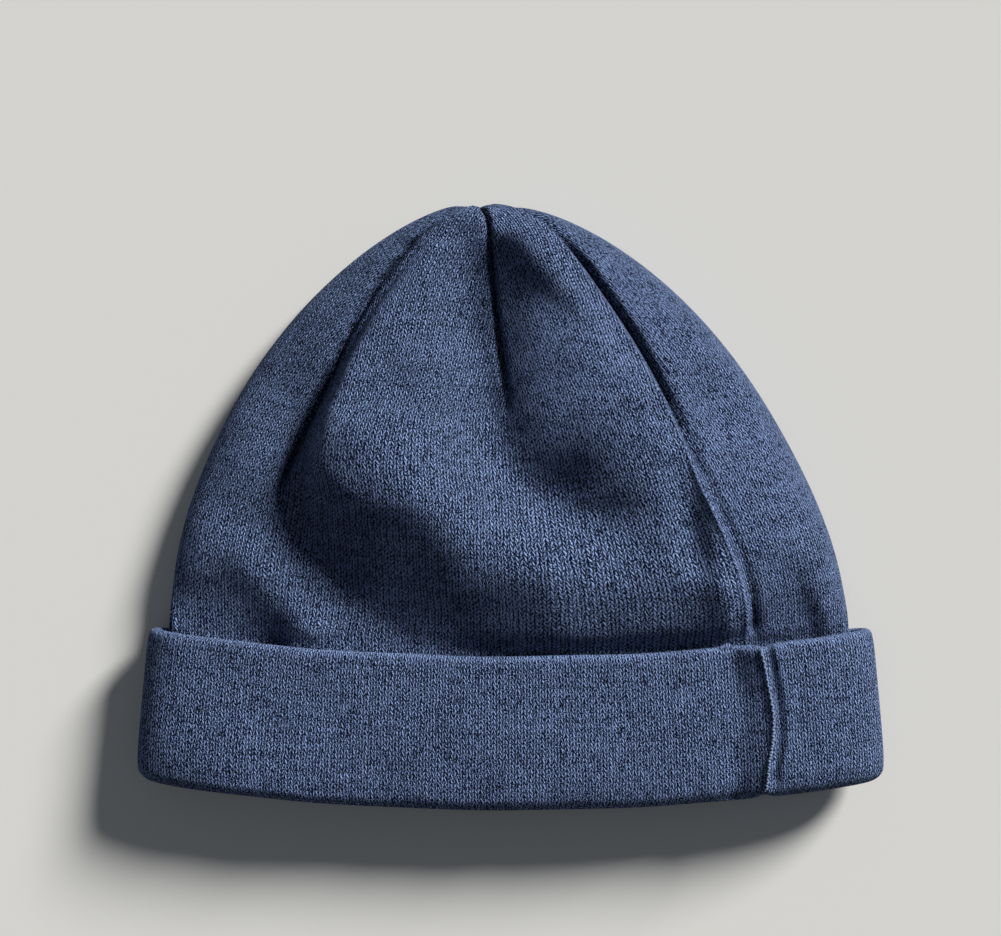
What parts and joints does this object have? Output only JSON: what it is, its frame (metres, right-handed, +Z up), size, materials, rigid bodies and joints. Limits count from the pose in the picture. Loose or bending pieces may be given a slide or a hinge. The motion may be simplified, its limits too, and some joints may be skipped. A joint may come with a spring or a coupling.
{
  "type": "knit beanie",
  "caption": "Close-fitting double-layer jersey beanie with sewn crown darts, one side seam and a turned-up cuff, lying flat with its mouth open at one end.",
  "frame": {"origin": "centre of the bounding box's bottom face: on the surface the hat lies on, halfway across its width and halfway from the bottom fold to the apex", "axes": "+X across the hat, towards the side with the full-length seam; +Y from the mouth to the crown's apex; +Z up, away from the surface it lies on"},
  "size_m": [0.2304, 0.184, 0.0239],
  "materials": {
    "shell_knit": "stockinette jersey, denim blue, matt with light fuzz",
    "lining_knit": "stockinette jersey, denim blue, matt",
    "cuff_knit": "stockinette jersey, denim blue, matt with light fuzz",
    "seam_allowance": "overlocked jersey edge",
    "seam_thread": "pale blue sewing thread"
  },
  "bodies": {
    "root": {"outer_shell": "shell_knit", "inner_lining": "lining_knit", "cuff_face": "cuff_knit", "cuff_backing": "shell_knit", "shell_dart_seam_1": "seam_allowance", "lining_dart_seam_1": "seam_allowance", "shell_dart_seam_2": "seam_allowance", "lining_dart_seam_2": "seam_allowance", "shell_dart_seam_3": "seam_allowance", "lining_dart_seam_3": "seam_allowance", "shell_dart_seam_4": "seam_allowance", "lining_dart_seam_4": "seam_allowance", "shell_dart_seam_5": "seam_allowance", "lining_dart_seam_5": "seam_allowance", "shell_side_seam": "seam_allowance", "lining_side_seam": "seam_allowance", "cuff_face_side_seam": "seam_allowance", "cuff_backing_side_seam": "seam_allowance", "cuff_seam_thread": "seam_thread", "crown_tack": "seam_thread"}
  },
  "joints": []
}
